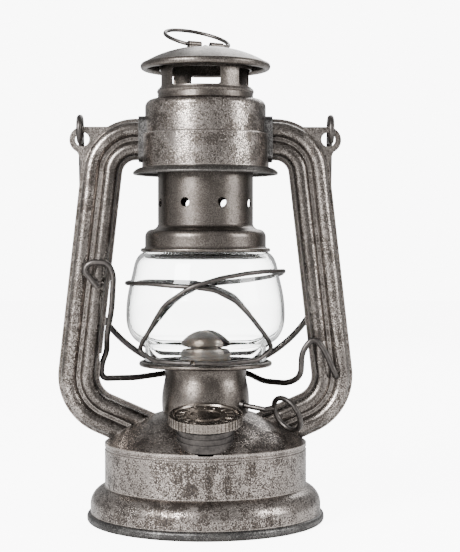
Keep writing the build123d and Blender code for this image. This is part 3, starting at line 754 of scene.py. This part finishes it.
@dataclass
class HoodCoil:
    """The spring round the chimney, which the hood presses together as it rises."""

    node: str = "hood_spring"
    joint: str = "hood_lift"
    fixed_height: float = 216.8 * MM
    kept: float = 0.48
    weld: float = 0.001 * MM

    def build(self, finishes: Finishes) -> None:
        """Copy the spring's mesh into a welded, smooth-shaded piece, dress it and hide the CAD node."""
        source = bpy.data.objects[self.node]
        piece = bpy.data.objects.new("hood_coil", source.data.copy())
        bpy.context.scene.collection.objects.link(piece)
        pick(piece)
        bpy.ops.object.mode_set(mode="EDIT")
        bpy.ops.mesh.select_all(action="SELECT")
        bpy.ops.mesh.remove_doubles(threshold=self.weld)
        bpy.ops.mesh.normals_make_consistent(inside=False)
        bpy.ops.object.mode_set(mode="OBJECT")
        bpy.ops.object.shade_smooth_by_angle(angle=SMOOTH_BELOW)
        finish_piece(piece, Body.LANTERN, "wire", finishes)
        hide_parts(self.node)
        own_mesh(piece)


def finish_piece(piece: bpy.types.Object, body: Body, finish: str, finishes: Finishes) -> None:
    """Dress a new piece, and let it ride.

    Args:
        piece: the finished piece.
        body: the body it moves with.
        finish: the name of its finish.
        finishes: the lantern's finishes.
    """
    finishes.dress(piece, finish)
    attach(piece, body.value)
    log.info("%s: %d faces on %s", piece.name, len(piece.data.polygons), body.value)


# ---------------------------------------------------------------- stage


@dataclass(frozen=True)
class Lamp:
    """A soft area light.

    Attributes:
        name: the light's name.
        place: where it hangs.
        size: its width, in metres.
        power: its power, in watts.
    """

    name: str
    place: Point
    size: float
    power: float

    def hang(self, target: Point) -> None:
        """Add the light, turned to a target."""
        deselect()
        bpy.ops.object.light_add(type="AREA", location=self.place)
        lamp = bpy.context.object
        lamp.name = self.name
        lamp.data.size = self.size
        lamp.data.energy = self.power
        lamp.rotation_euler = (Vector(target) - Vector(self.place)).to_track_quat("-Z", "Y").to_euler()


@dataclass
class Studio:
    """A pale floor, soft lights and the camera."""

    lens: float = 95.1
    distance: float = 0.760
    eye_height: float = 0.143
    aim: Point = (0.01275, 0.0, 0.127)
    nearest: float = 0.01
    floor_half: float = 3.0
    room_light: float = 0.55
    backdrop_light: float = 9.0
    floor_glow: float = 8.0
    floor_roughness: float = 0.55
    floor_shine: float = 0.2
    pale: Colour = (0.92, 0.92, 0.92)
    white: Colour = (1.0, 1.0, 1.0)
    lit_point: Point = (0.0, 0.0, 0.13)
    lamps: tuple[Lamp, ...] = (
        Lamp("key_light", (-0.62, -0.80, 0.55), 0.45, 27.0),
        Lamp("fill_light", (0.95, -0.35, 0.45), 0.5, 8.0),
        Lamp("back_light", (0.3, 0.9, 0.9), 0.8, 9.0),
    )

    def floor(self) -> None:
        """Lay a flat pale floor."""
        deselect()
        bpy.ops.mesh.primitive_plane_add(size=2.0 * self.floor_half)
        floor = bpy.context.object
        floor.name = "studio_floor"
        graph = Surface("pale_floor")
        graph.sockets(base_color=self.pale, roughness=self.floor_roughness,
                      specular_ior_level=self.floor_shine, emission_color=self.white,
                      emission_strength=graph.seen_straight() * self.floor_glow)
        floor.data.materials.append(graph.material)

    def surroundings(self) -> None:
        """Make the room pale, and brighter where it is seen than where it lights the lantern."""
        world = bpy.data.worlds.new("studio")
        bpy.context.scene.world = world
        world.use_nodes = True
        graph = Graph(world.node_tree)
        backdrop = graph.tree.nodes["Background"]
        graph.feed(backdrop.inputs["Color"], self.white)
        brighter = self.backdrop_light - self.room_light
        graph.feed(backdrop.inputs["Strength"], self.room_light + graph.seen_straight() * brighter)

    def camera(self) -> None:
        """Set up the camera."""
        deselect()
        place = Vector((0.0, -self.distance, self.eye_height))
        bpy.ops.object.camera_add(location=place)
        camera = bpy.context.object
        camera.data.lens = self.lens
        camera.data.clip_start = self.nearest
        camera.rotation_euler = (Vector(self.aim) - place).to_track_quat("-Z", "Y").to_euler()
        bpy.context.scene.camera = camera

    def build(self) -> None:
        """Set the stage."""
        self.floor()
        for lamp in self.lamps:
            lamp.hang(self.lit_point)
        self.surroundings()
        self.camera()


def main() -> None:
    """Build the lantern's looks."""
    logging.basicConfig(level=logging.INFO)
    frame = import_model()
    finishes = Finishes()
    finishes.dress_frame(frame["nodes"])
    for fitting in (LockSeams(), CapRelief(), WickFringe(), HoodCoil()):
        fitting.build(finishes)
    Studio().build()


if __name__ == "__main__":
    main()
